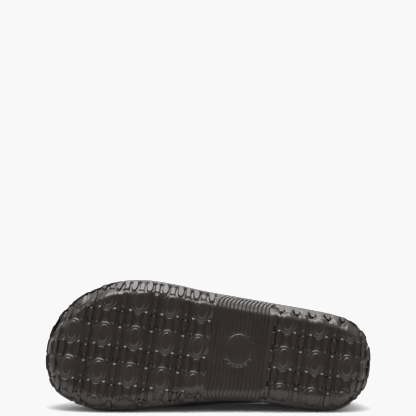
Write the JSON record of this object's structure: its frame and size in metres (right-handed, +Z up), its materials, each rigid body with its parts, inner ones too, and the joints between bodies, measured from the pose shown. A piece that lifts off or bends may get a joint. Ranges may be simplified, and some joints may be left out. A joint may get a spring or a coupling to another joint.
{
  "type": "eva clog",
  "caption": "Closed-toe moulded foam clog for the left foot, with a lugged, rib-waisted sole and a smooth hollow upper, lying on its medial side.",
  "frame": {"origin": "middle of the footprint, on the floor that the shoe lies on", "axes": "+X from toe to heel, +Y from the tread into the shoe, +Z up, from the medial side to the lateral side"},
  "size_m": [0.2992, 0.104, 0.1183],
  "materials": {
    "outsole_rubber": "satin",
    "upper_foam": "satin",
    "footbed_foam": "matte"
  },
  "bodies": {
    "root": {"outsole": "outsole_rubber", "upper": "upper_foam", "insole": "footbed_foam"}
  },
  "joints": []
}
